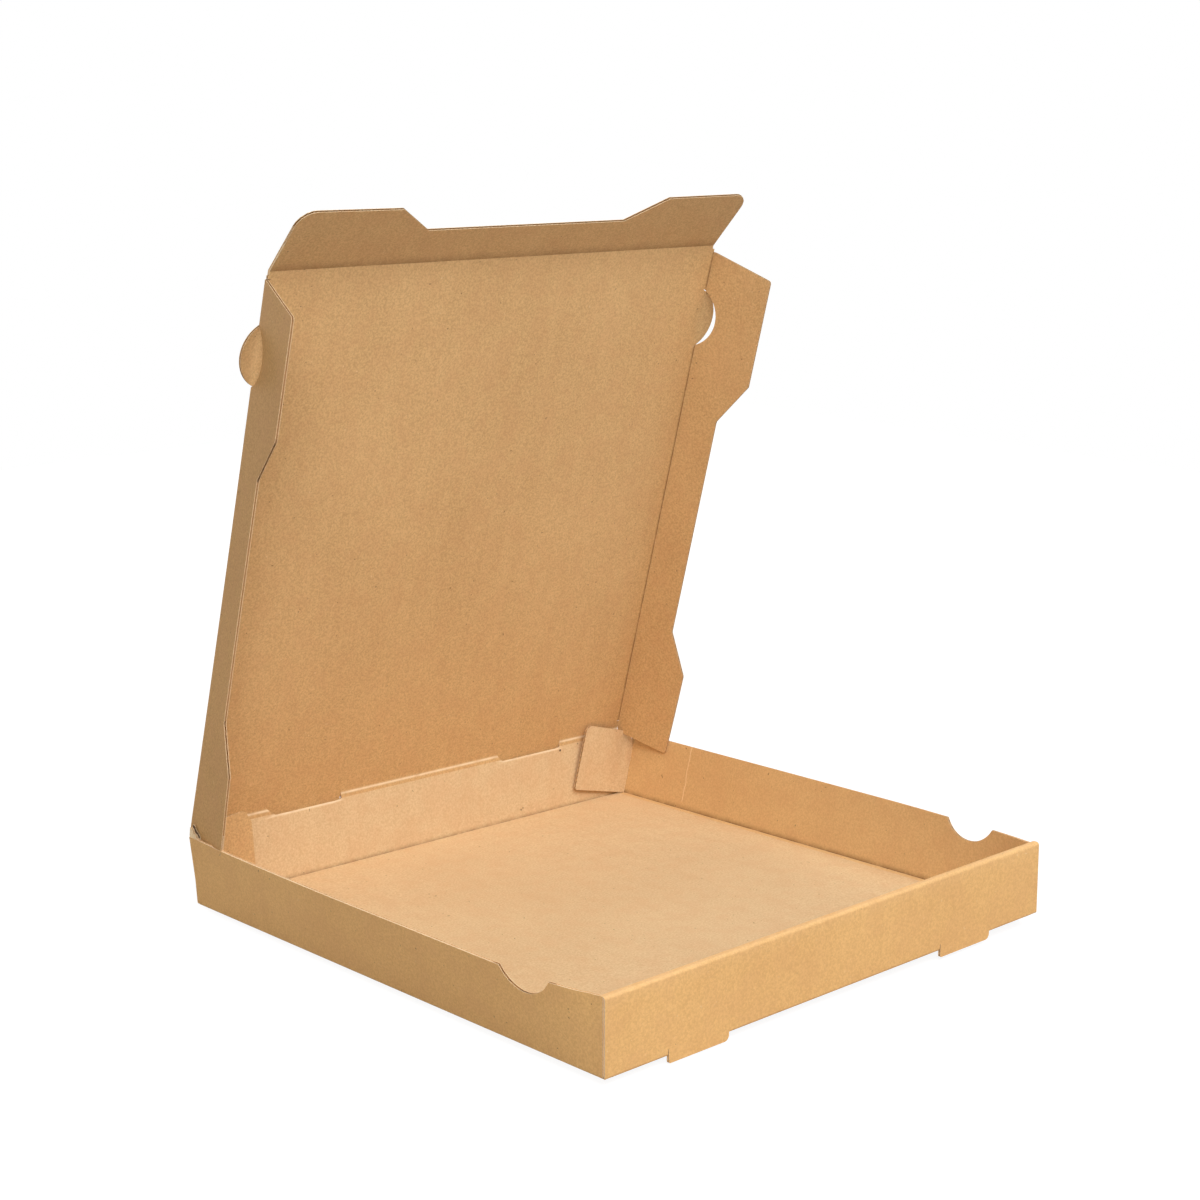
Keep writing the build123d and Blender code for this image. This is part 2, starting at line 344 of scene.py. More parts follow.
def crushed_edges(outline, along_cuts):
    """Between the liners, the last flute's wall along each cut edge that runs with the flutes."""
    bm = bmesh.new()
    area = sum(a * d - c * b for (a, b), (c, d) in zip(outline, outline[1:] + outline[:1]))
    for (a, b), (c, d) in zip(outline, outline[1:] + outline[:1]):
        if abs(d - b) < SHORTEST_FILL or abs(c - a) > FILL_SLOPE * abs(d - b):
            continue
        inward = -1 if (d - b) * area > 0 else 1
        centre = ((a + c) / 2 + inward * (EDGE_INSET + EDGE_FILL / 2), (b + d) / 2, 0)
        size = (EDGE_FILL, abs(d - b) - 2 * EDGE_INSET, BOARD - 2 * LINER)
        place = Matrix.LocRotScale(Vector(centre) * MM, None, Vector(size) * MM)
        bmesh.ops.create_cube(bm, size=1, matrix=place)
    cut_grid(bm, 1, along_cuts)
    bmesh.ops.recalc_face_normals(bm, faces=bm.faces[:])
    return mesh_of(bm)


def board(
    name, outline, shape, across_cuts, along_cuts, zones=(), row_length=30.0, creases=(), fill=1
):
    """One sheet of corrugated board, folded by shape(across, along, height) in millimetres.

    A crease is (axis, place, half width, strength, low, high): a dark line of painted shade on the
    inner liner between low and high of the other axis, or, if it is negative, a pale line on both
    liners that paints a highlight along a crest or cut edge.
    """
    whole = bmesh.new()
    for low in (HALF_BOARD - LINER, -HALF_BOARD):
        mesh = liner(outline, low, across_cuts, along_cuts)
        whole.from_mesh(mesh)
        bpy.data.meshes.remove(mesh)
    fills = [(crushed_edges(outline, along_cuts), fill)]
    fills += [(trimmed(wave(zone, row_length), outline), 2) for zone in zones]
    for mesh, material in fills:
        before = len(whole.faces)
        whole.from_mesh(mesh)
        whole.faces.ensure_lookup_table()
        for face in whole.faces[before:]:
            face.material_index = material
        bpy.data.meshes.remove(mesh)
    layer = whole.verts.layers.float.new("crease")
    for vert in whole.verts:
        flat = vert.co / MM
        inner = flat.z > HALF_BOARD - LINER / 2
        for axis, spot, half, strength, low, high in creases:
            depth = strength * max(0.0, 1 - abs(flat[axis] - spot) / half)
            seen = low <= flat[1 - axis] <= high and (inner or strength < 0)
            if seen and abs(depth) > abs(vert[layer]):
                vert[layer] = depth
        vert.co = Vector(shape(*flat)) * MM
    return add_piece(name, mesh_of(whole, name))


# Materials
class Value:
    """A socket with arithmetic: an expression on values adds its Math nodes."""

    def __init__(self, nodes, socket):
        self.nodes = nodes
        self.socket = socket

    def maths(self, operation, *values):
        return self.nodes.node("ShaderNodeMath", {"operation": operation}, values)

    def __add__(self, other):
        return self.maths("ADD", self, other)

    def __mul__(self, other):
        return self.maths("MULTIPLY", self, other)

    def __sub__(self, other):
        return self.maths("SUBTRACT", self, other)

    def __rsub__(self, other):
        return self.maths("SUBTRACT", other, self)

    def __abs__(self):
        return self.maths("ABSOLUTE", self)

    __radd__ = __add__
    __rmul__ = __mul__

    def band(self, low, high):
        """0 at low, 1 at high and smooth between."""
        settings = {"interpolation_type": "SMOOTHSTEP"}
        return self.nodes.node("ShaderNodeMapRange", settings, (self, low, high, 0.0, 1.0))


class Finish:
    """A material and the one way that its nodes are added."""

    def __init__(self, name):
        self.material = bpy.data.materials.new(name)
        self.material.use_nodes = True
        self.tree = self.material.node_tree
        self.shader = self.tree.nodes["Principled BSDF"]
        self.place = self.node("ShaderNodeTexCoord", {}, (), "Object")

    def node(self, kind, settings, inputs, output=0):
        made = self.tree.nodes.new(kind)
        for key, value in settings.items():
            setattr(made, key, value)
        pairs = inputs.items() if isinstance(inputs, dict) else enumerate(inputs)
        for key, value in pairs:
            if isinstance(value, Value):
                self.tree.links.new(value.socket, made.inputs[key])
            else:
                made.inputs[key].default_value = value
        return Value(self, made.outputs[output])

    def noise(self, scale, detail=2.0, roughness=0.5, stretch=(1, 1, 1)):
        place = self.node("ShaderNodeMapping", {}, {"Vector": self.place, "Scale": stretch})
        inputs = {"Vector": place, "Scale": scale, "Detail": detail, "Roughness": roughness}
        return self.node("ShaderNodeTexNoise", {}, inputs)

    def mix(self, share, low, high):
        inputs = {0: share, 6: low, 7: high}
        return self.node("ShaderNodeMix", {"data_type": "RGBA"}, inputs, 2)

    def send(self, socket, value):
        if isinstance(value, Value):
            self.tree.links.new(value.socket, self.shader.inputs[socket])
        else:
            self.shader.inputs[socket].default_value = value


def colour(red, green, blue):
    """A display colour as Blender's linear one."""
    return (*[((c / 255 + 0.055) / 1.055) ** 2.4 for c in (red, green, blue)], 1.0)


REDDISH = colour(214, 156, 112)
DARK_SPECK, PALE_FLECK = colour(104, 74, 44), colour(242, 214, 172)
# Crease colours: painted shade in folds, and a pale line that is partly a cut edge's own colour and
# partly painted highlight
CREASE_PAINTED_SHADE, PALE_EDGE_AND_CREASE_HIGHLIGHT = colour(112, 76, 40), colour(250, 228, 192)
BUMP_HEIGHT = 0.00012

# A hairline crack in the right wall, as places on Y and Z in metres
CRACK_PLACE = 0.111
CRACK_HALF = 0.0005
CRACK_LOW, CRACK_HIGH = 0.004, 0.039
CRACK_WANDER = 0.004
CRACK_COLOUR = colour(244, 214, 168)


def cracked(finish, base):
    """The base colour with a pale, slightly wandering line up the right wall."""
    along = finish.node("ShaderNodeSeparateXYZ", {}, (finish.place,), "Y")
    height = finish.node("ShaderNodeSeparateXYZ", {}, (finish.place,), "Z")
    wobble = finish.noise(90.0, 2.0, 0.5) * CRACK_WANDER - CRACK_WANDER / 2
    line = 1 - abs(along + wobble - CRACK_PLACE).band(0.0, CRACK_HALF)
    foot, head = height.band(CRACK_LOW, CRACK_LOW * 1.5), height.band(CRACK_HIGH, CRACK_HIGH * 1.1)
    return finish.mix(line * (foot * (1 - head)) * 0.95, base, CRACK_COLOUR)


def kraft(name, dark, light, crack=False):
    """Unbleached board: fibres and clouds, reddish patches, specks, flecks, and painted shade and
    painted highlights along creases.
    """
    finish = Finish(name)
    cloud = finish.noise(9.0, 3.0, 0.55).band(0.35, 0.65)
    streak = finish.noise(150.0, 2.0, 0.5, (1.0, 0.12, 0.12)).band(0.3, 0.7)
    fibre = finish.noise(850.0, 4.0, 0.7)
    grain = finish.noise(2400.0, 2.0, 0.6)
    base = finish.mix(fibre.band(0.36, 0.64) * 0.72 + streak * 0.1 + cloud * 0.18, dark, light)
    tint = finish.noise(75.0, 3.0, 0.6)
    base = finish.mix(tint.band(0.4, 0.66) * 0.25, base, finish.mix(0.5, dark, REDDISH))
    speck = finish.noise(420.0, 1.0, 0.5)
    base = finish.mix(speck.band(0.77, 0.80) * 0.6, base, DARK_SPECK)
    fleck = finish.noise(560.0, 1.0, 0.5, (1.0, 1.4, 1.0))
    base = finish.mix(fleck.band(0.74, 0.80) * 0.35, base, PALE_FLECK)
    # Crease lines: painted shade in the folds and pale painted highlight along crests and cut edges,
    # broken up by noise
    crease = finish.node("ShaderNodeAttribute", {"attribute_name": "crease"}, (), "Fac")
    crease_paint_patchiness = finish.noise(120.0, 3.0, 0.6).band(0.25, 0.6) * 0.5 + 0.5
    base = finish.mix(crease.band(0.0, 1.0) * crease_paint_patchiness, base, CREASE_PAINTED_SHADE)
    base = finish.mix((crease * -1).band(0.0, 1.0) * crease_paint_patchiness, base, PALE_EDGE_AND_CREASE_HIGHLIGHT)
    finish.send("Base Color", cracked(finish, base) if crack else base)
    finish.send("Roughness", fibre * 0.1 + 0.7)
    finish.send("Specular IOR Level", 0.3)
    relief = {"Strength": 0.3, "Distance": BUMP_HEIGHT, "Height": fibre * 0.7 + grain * 0.3}
    finish.send("Normal", finish.node("ShaderNodeBump", {}, relief))
    return finish.material


KRAFT_DARK, KRAFT_LIGHT = colour(191, 150, 99), colour(222, 181, 127)
# A brighter copy of the liner for the right wall: painted light, with the wall's real pale crack
CRACKED_LIT_DARK, CRACKED_LIT_LIGHT = colour(208, 167, 114), colour(229, 190, 134)
# A brighter copy of the liner for the tray's outer faces: painted light
OUTSIDE_LIT_DARK, OUTSIDE_LIT_LIGHT = colour(216, 166, 104), colour(237, 189, 124)
# A darker copy of the liner for the outer faces of the lid, its flaps, heels, hinge and tuck: painted
# shade
LID_PAINTED_SHADE_DARK, LID_PAINTED_SHADE_LIGHT = colour(184, 139, 84), colour(210, 164, 106)
# A paler, less saturated copy of the liner for the tray's floor, rear wall and right rear tab: painted
# sheen and light
INSIDE_SHEEN_DARK, INSIDE_SHEEN_LIGHT = colour(206, 171, 128), colour(226, 196, 152)
EDGE_DARK, EDGE_LIGHT = colour(228, 196, 152), colour(246, 222, 184)
MEDIUM_DARK, MEDIUM_LIGHT = colour(166, 124, 80), colour(188, 144, 98)
liner_finish = kraft("kraft_liner", KRAFT_DARK, KRAFT_LIGHT)
inside_sheen_finish = kraft("kraft_liner_inside_painted_sheen", INSIDE_SHEEN_DARK, INSIDE_SHEEN_LIGHT)
outside_lit_finish = kraft("kraft_liner_outside_painted_light", OUTSIDE_LIT_DARK, OUTSIDE_LIT_LIGHT)
lid_outside_shaded_finish = kraft("kraft_liner_lid_outside_painted_shade", LID_PAINTED_SHADE_DARK, LID_PAINTED_SHADE_LIGHT)
cracked_lit_finish = kraft("kraft_liner_cracked_painted_light", CRACKED_LIT_DARK, CRACKED_LIT_LIGHT, crack=True)
edge_finish = kraft("raw_edge", EDGE_DARK, EDGE_LIGHT)
medium_finish = kraft("fluted_medium", MEDIUM_DARK, MEDIUM_LIGHT)


def dress(piece, inner=liner_finish, outer=lid_outside_shaded_finish):
    for material in (inner, edge_finish, medium_finish, outer):
        piece.data.materials.append(material)


# Tray
REAR_ANGLE = atan(REAR_LEAN / HINGE_HEIGHT)
PIVOT = Vector((0, HALF_DEPTH - HALF_BOARD + REAR_LEAN, HINGE_HEIGHT))
REAR_FOLD_Y = HALF_DEPTH - HALF_BOARD
FRONT_FOLD_Y = HALF_BOARD - HALF_DEPTH
SIDE_FOLD_X = HALF_WIDTH - HALF_BOARD
FLOOR_FOLD = (STRIP, pi / 2, CREASE)


def twisted(x, y, z):
    return Vector((x, y, z - TWIST * (x / HALF_WIDTH) * (y / HALF_DEPTH)))


floor_half = SIDE_FOLD_X - STRIP
floor_front = FRONT_FOLD_Y + STRIP
floor_rear = REAR_FOLD_Y - STRIP
floor_piece = board(
    "tray_floor",
    [
        (-floor_half, floor_front),
        (floor_half, floor_front),
        (floor_half, floor_rear),
        (-floor_half, floor_rear),
    ],
    lambda across, along, height: twisted(across, along, FLOOR_MIDDLE + height),
    cut_lines(-floor_half, floor_half, GRID),
    cut_lines(floor_front, floor_rear, GRID),
)

# Rolled front wall, from the floor up, over and down again
roll_up = STRIP + FRONT_HEIGHT - HALF_BOARD - FLOOR_MIDDLE
roll_over = roll_up + ROLL_DEPTH - BOARD
roll_end = roll_over + FRONT_HEIGHT - HALF_BOARD - BOARD - LOCK_GAP
front_folds = (FLOOR_FOLD, (roll_up, pi / 2, CREASE), (roll_over, pi / 2, CREASE))
foot_top = STRIP + FOOT_TOP - FLOOR_MIDDLE
slit_top = STRIP + FOOT_SLIT - FLOOR_MIDDLE
inner_half = HALF_WIDTH - BOARD - LOCK_GAP


def front_shape(across, along, height):
    place = creased(along, front_folds, height)
    return twisted(across, FRONT_FOLD_Y + STRIP - place.x, FLOOR_MIDDLE + place.y)


front_outline = [(-floor_half, 0)]
for middle in (-FOOT_PLACE, FOOT_PLACE):
    left, right = middle - FOOT_WIDTH / 2, middle + FOOT_WIDTH / 2
    front_outline += [(left - SLIT_WIDTH, 0), (left - SLIT_WIDTH, slit_top), (left, slit_top)]
    front_outline += [(left, foot_top), (right, foot_top), (right, 0)]
front_outline += [(floor_half, 0), (floor_half, STRIP), (HALF_WIDTH, STRIP)]
front_outline += [(HALF_WIDTH, roll_over), (inner_half, roll_over), (inner_half, roll_end)]
for middle in (FOOT_PLACE, -FOOT_PLACE):
    left = middle - FOOT_WIDTH / 2 + LOCK_INSET
    right = middle + FOOT_WIDTH / 2 - LOCK_INSET
    front_outline += [(right, roll_end), (right, roll_end + BOARD)]
    front_outline += [(left, roll_end + BOARD), (left, roll_end)]
front_outline += [(-inner_half, roll_end), (-inner_half, roll_over), (-HALF_WIDTH, roll_over)]
front_outline += [(-HALF_WIDTH, STRIP), (-floor_half, STRIP)]
front_piece = board(
    "tray_front_wall",
    front_outline,
    front_shape,
    cut_lines(-HALF_WIDTH, HALF_WIDTH, GRID),
    cut_lines(0, roll_end, GRID, [fold_cuts(*fold) for fold in front_folds]),
    # A faint pale band over the roll's top: painted highlight
    creases=[(1, (roll_up + roll_over) / 2, ROLL_DEPTH, -0.3, *EVERYWHERE)],
)


def foot(middle, name):
    left, right = middle - FOOT_WIDTH / 2, middle + FOOT_WIDTH / 2
    corners = [(left, -FOOT_DROP, FOOT_CORNER_LEFT), (right, -FOOT_DROP, FOOT_CORNER_RIGHT)]
    corners += [(right, FOOT_TOP, 0), (left, FOOT_TOP, 0)]
    return board(
        name,
        rounded(corners),
        lambda across, along, height: twisted(across, FRONT_FOLD_Y + height, along),
        cut_lines(left, right, GRID),
        [0.0],
        zones=[(left - OVERRUN, right + OVERRUN, -FOOT_DROP - OVERRUN, FOOT_TOP)],
    )


feet = [foot(-FOOT_PLACE, "left_foot"), foot(FOOT_PLACE, "right_foot")]

# Rear wall, with the cut-outs that the lid's stub tabs leave
rear_fold = (STRIP, pi / 2 - REAR_ANGLE, CREASE)
rear_crest = STRIP + (HINGE_HEIGHT - FLOOR_MIDDLE) / cos(REAR_ANGLE)
rear_top = rear_crest - HINGE_STRIP
rear_half = HALF_WIDTH - LOCK_GAP
CUT_CREASE_HALF, CUT_CREASE_EDGE = 1.3, 0.6


def rear_shape(across, along, height):
    place = creased(along, (rear_fold,), height)
    z = FLOOR_MIDDLE + place.y
    skew = HINGE_SKEW * (across / HALF_WIDTH) * (z / HINGE_HEIGHT)
    return twisted(across, REAR_FOLD_Y - STRIP + place.x - skew, z)


def stub_line(middle, crease, reach, grow, base):
    """A stub's outline from left to right: slanted on its left and rounded on its right."""
    left, right = middle - STUB_WIDTH / 2 - grow, middle + STUB_WIDTH / 2 + grow
    end = crease - reach
    corner = arc_points((right - STUB_CORNER, end + STUB_CORNER), STUB_CORNER, -90, 0, 4)
    corner = [point for point in corner if point[1] < base - CORNER_CLEAR]
    slant = STUB_SLANT * (crease - base) / reach
    return [(left + slant, base), (left + STUB_SLANT, end), *corner, (right, base)]


rear_outline = [(-floor_half, 0), (floor_half, 0), (floor_half, STRIP), (rear_half, STRIP)]
rear_outline += [(rear_half, rear_top)]
for middle in (STUB_PLACE, -STUB_PLACE):
    rear_outline += reversed(stub_line(middle, rear_crest, STUB_HOLE, STUB_GAP, rear_top))
rear_outline += [(-rear_half, rear_top), (-rear_half, STRIP), (-floor_half, STRIP)]
zone_half = STUB_WIDTH / 2 + 2 * OVERRUN
stub_zones = [(middle - zone_half, middle + zone_half) for middle in (-STUB_PLACE, STUB_PLACE)]
cut_line = rear_crest - STUB_HOLE
# Pale lines along the stub cut-outs: partly the cut edge's own pale colour, partly painted highlight
cut_creases = [(1, cut_line, CUT_CREASE_HALF, -0.9, *zone) for zone in stub_zones]
rear_cuts = cut_lines(0, cut_line - 2 * OVERRUN, GRID, [fold_cuts(*rear_fold)])
rear_piece = board(
    "tray_rear_wall",
    rear_outline,
    rear_shape,
    cut_lines(-HALF_WIDTH, HALF_WIDTH, GRID),
    [*rear_cuts, cut_line - CUT_CREASE_HALF, cut_line - CUT_CREASE_EDGE],
    zones=[(*zone, rear_top - 2 * FLUTE_REACH, rear_top) for zone in stub_zones],
    row_length=3.0,
    # A dark line of painted shade in the floor crease, and the pale lines along the cut-outs
    creases=[(1, STRIP + 0.2, 1.3, 1.0, *EVERYWHERE), *cut_creases],
)

# A dark speck on the rear wall
SPECK_PLACE, SPECK_HEIGHT, SPECK_SIZE = 112.0, 37.5, 0.75
SPECK_THICKNESS, SPECK_SINK = 0.1, 0.04
speck = bmesh.new()
bmesh.ops.create_circle(speck, cap_ends=True, segments=10, radius=SPECK_SIZE * MM)
raise_faces(speck, SPECK_THICKNESS)
for vert in speck.verts:
    flat = vert.co / MM
    along = STRIP + SPECK_HEIGHT + flat.y
    vert.co = rear_shape(SPECK_PLACE + flat.x, along, HALF_BOARD - SPECK_SINK + flat.z) * MM
rear_speck = add_piece("rear_wall_speck", mesh_of(speck, "rear_wall_speck"))

# Side walls, bowed outwards along their top edges
wall_front = FRONT_FOLD_Y + HALF_BOARD + TAB_GAP
wall_rear = HALF_DEPTH - BOARD - TAB_GAP
side_top = STRIP + WALL_LENGTH
NOTCH_ZONE = NOTCH_RADIUS * 1.1


def side_wall(side, bows, height_at_front, sink, notch, name):
    def shape(across, along, height):
        bow = bow_at(bows, (along - wall_front) / (wall_rear - wall_front))
        rise = height_at_front - sink * bow - FLOOR_MIDDLE
        lean = atan(bow / rise)
        if across > STRIP:
            across = STRIP + (across - STRIP) * rise / cos(lean) / WALL_LENGTH
        place = creased(across, ((STRIP, pi / 2 - lean, CREASE),), height)
        return twisted(side * (SIDE_FOLD_X - STRIP + place.x), along, FLOOR_MIDDLE + place.y)

    low = side_top - NOTCH_DEPTH
    half = degrees(asin((NOTCH_RADIUS - NOTCH_DEPTH) / NOTCH_RADIUS))
    centre = (low + NOTCH_RADIUS, notch - HALF_DEPTH)
    outline = [(0, wall_front), (side_top, wall_front)]
    outline += arc_points(centre, NOTCH_RADIUS, 270 - half, 90 + half, ARC_STEPS)
    outline += [(side_top, wall_rear), (0, wall_rear)]
    around_notch = (centre[1] - NOTCH_ZONE, centre[1] + NOTCH_ZONE)
    return board(
        name,
        outline,
        shape,
        cut_lines(0, side_top, GRID, [fold_cuts(*FLOOR_FOLD)]),
        cut_lines(wall_front, wall_rear, GRID * 0.8),
        zones=[(low - FLUTE_REACH, side_top + OVERRUN, *around_notch)],
        row_length=4.0,
        # A dark line of painted shade in the floor crease
        creases=[(0, STRIP + 0.3, 1.4, 1.0 if side > 0 else 0.7, *EVERYWHERE)],
    )


left_wall = side_wall(-1, LEFT_BOW, LEFT_HEIGHT, LEFT_SINK, LEFT_NOTCH, "tray_left_wall")
right_wall = side_wall(1, RIGHT_BOW, RIGHT_HEIGHT, RIGHT_SINK, RIGHT_NOTCH, "tray_right_wall")


# The torn rear left corner: its outer liner stands up before a flat dark sheet, painted shadow in the
# gap of the open flutes
TORN_BOW = 3.9
TORN_BASE = 40.0
TORN_LEAN = 0.1
TORN_LINER = [(0, -1), (9.4, -1), (8.2, 0.9), (6.3, 1.2), (5.3, 2.6), (3.4, 3.0), (1.7, 5.2), (0, 6.0)]
TORN_SHADOW_OUTLINE = [(0.2, 0), (8.6, 0), (7.4, 2.4), (5.9, 3.6), (4.1, 4.6), (2.5, 6.7), (0.2, 7.3)]


def torn_shape(across, along, height):
    x = -HALF_WIDTH - TORN_BOW + TORN_LEAN * along + height
    return twisted(x, wall_rear - across, TORN_BASE + along)


def torn_shadow_shape(across, along, height):
    return torn_shape(across, along, height + BOARD * 1.1)


torn_liner = board("torn_corner_liner", TORN_LINER, torn_shape, [], [])
torn_shadow_sheet = board("torn_corner_painted_shadow", TORN_SHADOW_OUTLINE, torn_shadow_shape, [], [])


# Front corner tabs, which lie hidden inside the rolled wall
def front_tab(side, name):
    low, high, end, slant, taper, corner = 2.0, 38.0, 32.0, 4.0, 1.0, 1.5
    corners = [(low, 0, 0), (high, 0, 0), (high - taper, end, corner)]
    corners += [(low + slant, end, corner), (low, end - slant, 0)]
    middle_y = -HALF_DEPTH + BOARD + TAB_GAP + HALF_BOARD
    return board(
        name,
        rounded(corners),
        lambda across, along, height: twisted(side * (inner_half - along), middle_y + height, across),
        cut_lines(low, high, GRID),
        cut_lines(0, end, GRID),
    )


front_tabs = [front_tab(-1, "left_front_tab"), front_tab(1, "right_front_tab")]


# Rear corner tabs, which a closing lid presses down: flat, tilted and folded from the wall
TAB_FOLD_EDGE = -0.9


def rear_tab(name, side, corners, tilt, fold_x, fold_z, fold_y, slope, zone):
    """A tab whose crease starts at fold_x, fold_y and fold_z and tilts by so many degrees."""
    rise, run = sin(radians(tilt)), cos(radians(tilt))

    def shape(across, along, height):
        place = creased(along + STRIP, (FLOOR_FOLD,), height)
        x = fold_x - place.y * run + across * rise
        z = fold_z + across * run + place.y * rise
        return twisted(side * x, fold_y + place.x - STRIP + z * slope, z)

    cuts = cut_lines(0, 40, CLOSE_GRID), cut_lines(2, 44, CLOSE_GRID)
    return board(name, rounded(corners), shape, *cuts, zones=[zone], row_length=12.0)


RIGHT_TAB_TOP = 30.8
RIGHT_TAB_LENGTH = 44.3
QUARTER = [pi / 2 * step / 8 for step in range(9)]
right_tab = rear_tab(
    "right_rear_tab",
    1,
    [
        (0, TAB_FOLD_EDGE, 0),
        (-2.0, RIGHT_TAB_LENGTH, 1.5),
        (36.8, RIGHT_TAB_LENGTH, 2.0),
        (39.8, 41.2, 2.0),
        *[(RIGHT_TAB_TOP + 9.0 * cos(a), 13.8 - 12.8 * sin(a), 0) for a in QUARTER],
        (RIGHT_TAB_TOP, TAB_FOLD_EDGE, 0),
    ],
    tilt=15.6,
    fold_x=163.9,
    fold_z=1.1,
    fold_y=HALF_DEPTH - BOARD - 2 * HALF_BOARD,
    slope=0.0,
    zone=(-3, 41, 3, 46),
)
LEFT_TAB_FOOT = 0.5
LEFT_TAB_LENGTH = 38.3
left_tab = rear_tab(
    "left_rear_tab",
    -1,
    [
        (LEFT_TAB_FOOT, TAB_FOLD_EDGE, 0),
        (24.0, TAB_FOLD_EDGE, 1.5),
        (43.0, 13.5, 1.5),
        (45.5, 34.0, 4.0),
        (38.0, LEFT_TAB_LENGTH, 4.0),
        (8.0, LEFT_TAB_LENGTH, 4.0),
        (LEFT_TAB_FOOT, 36.0, 0),
    ],
    tilt=0.0,
    fold_x=164.0,
    fold_z=1.6,
    fold_y=HALF_DEPTH - BOARD - HALF_BOARD - TAB_GAP,
    slope=(REAR_LEAN + HINGE_SKEW) / HINGE_HEIGHT,
    zone=(-1, 47, 3, 40),
)


# Lid
def lid_point(across, along, height):
    """A place on the open lid, which shares the tray's twist."""
    side = across / HALF_WIDTH
    lean = radians(LID_LEAN + LID_TWIST * side)
    x = across + LID_SHIFT * along / LID_DEPTH
    x -= LID_SPREAD * smooth(-side) * (1 - along / LID_DEPTH) ** 2
    y = PIVOT.y - HINGE_SKEW * side - along * sin(lean) - height * cos(lean)
    z = PIVOT.z - TWIST * side + along * cos(lean) - height * sin(lean)
    return Vector((x, y, z))


def ear_arc(radius, from_edge):
    """A half-moon in lid places beside the right crease, from low to high."""
    middle = EAR_HEIGHT - EAR_RADIUS
    angle = degrees(asin(sqrt(radius**2 - (from_edge - middle) ** 2) / radius))
    return arc_points((middle, EAR_PLACE), radius, -angle, angle, ARC_STEPS)


lid_edge = LID_HALF - LID_LEAD
lid_top = LID_DEPTH - LID_LEAD
flap_front = LID_DEPTH - LID_CORNER
corner_edge = LID_HALF + HALF_BOARD
rear_edge, front_edge = LID_HALF - 0.4, LID_HALF - 0.5
ear_edge = LID_HALF + EAR_HEIGHT
right_side = [(rear_edge, HINGE_STRIP), (rear_edge, FLAP_REAR - STUB_GAP)]
right_side += [(lid_edge, FLAP_REAR - STUB_GAP)]
right_side += [(LID_HALF + a, b) for a, b in ear_arc(EAR_RADIUS, -LID_LEAD)]
right_side += [(lid_edge, flap_front + STUB_GAP), (front_edge, flap_front + STUB_GAP)]
right_side += [(front_edge, lid_top)]
lid_outline = []
for middle in (-STUB_PLACE, STUB_PLACE):
    lid_outline += stub_line(middle, 0, STUB_REACH, 0, HINGE_STRIP)
lid_outline += right_side + [(-a, b) for a, b in reversed(right_side)]
ear_zone = (EAR_PLACE - EAR_RADIUS, EAR_PLACE + EAR_RADIUS)
lid_piece = board(
    "lid_panel",
    lid_outline,
    lid_point,
    cut_lines(-lid_edge, lid_edge, GRID),
    cut_lines(HINGE_STRIP, lid_top, GRID),
    zones=[
        (lid_edge - FLUTE_REACH, ear_edge + OVERRUN, *ear_zone),
        (-ear_edge - OVERRUN, FLUTE_REACH - lid_edge, *ear_zone),
        (lid_edge - FLUTE_REACH, corner_edge + OVERRUN, flap_front, lid_top),
        (-corner_edge - OVERRUN, FLUTE_REACH - lid_edge, flap_front, lid_top),
        *[(*zone, -STUB_REACH - OVERRUN, HINGE_STRIP) for zone in stub_zones],
    ],
    row_length=10.0,
)


# Hinge creases between the stub tabs, from the rear wall to the lid
def hinge_shape(across, along, height):
    low = rear_shape(across, rear_top, 0)
    high = lid_point(across, HINGE_STRIP, 0)
    corner = lid_point(across, 0, 0)
    share = along / (2 * HINGE_STRIP)
    place = low * (1 - share) ** 2 + corner * 2 * share * (1 - share) + high * share**2
    way = (corner - low) * (1 - share) + (high - corner) * share
    inward = Vector((0, -way.z, way.y)).normalized()
    return place + inward * height


def hinge_strip(name, low, high, slant=0.0):
    end = 2 * HINGE_STRIP
    return board(
        name,
        [(low, 0), (high + slant, 0), (high - slant, end), (low, end)],
        hinge_shape,
        cut_lines(low, high, GRID),
        cut_lines(0, end, 0.75),
        zones=[(low, high + slant, 0, end)],
        row_length=1.5,
        # A pale line along the hinge's crest: painted highlight
        creases=[(1, HINGE_STRIP, 1.4, -0.9, *EVERYWHERE)],
    )


stub_low = STUB_PLACE - STUB_WIDTH / 2 - SLIT_WIDTH / 4
stub_high = STUB_PLACE + STUB_WIDTH / 2 + SLIT_WIDTH / 4
stub_slant = STUB_SLANT * HINGE_STRIP / STUB_REACH
hinges = [
    hinge_strip("hinge_crease_left", -rear_edge, -stub_high, stub_slant),
    hinge_strip("hinge_crease_middle", -stub_low, stub_low, stub_slant),
    hinge_strip("hinge_crease_right", stub_high, rear_edge),
]


# Side flaps, folded a little further at their rear ends, where the tray's walls hold them
def flap_shaper(side, fold, rear_fold_extra, rear_power):
    def shape(across, along, height):
        rear_share = max(0.0, 1 - along / LID_DEPTH) ** rear_power
        turn = radians(fold + rear_fold_extra * rear_share)
        place = creased(across + LID_LEAD, ((LID_LEAD, turn, CREASE),), height)
        return lid_point(side * (LID_HALF - LID_LEAD + place.x), along, place.y)

    return shape


# Parts of a side flap whose cut edges show their flutes: low and high across, then along
FLAP_ZONES = ((22, 40, 50, 80), (22, 42, 218, 250))
EAR_MARGIN = 33.0


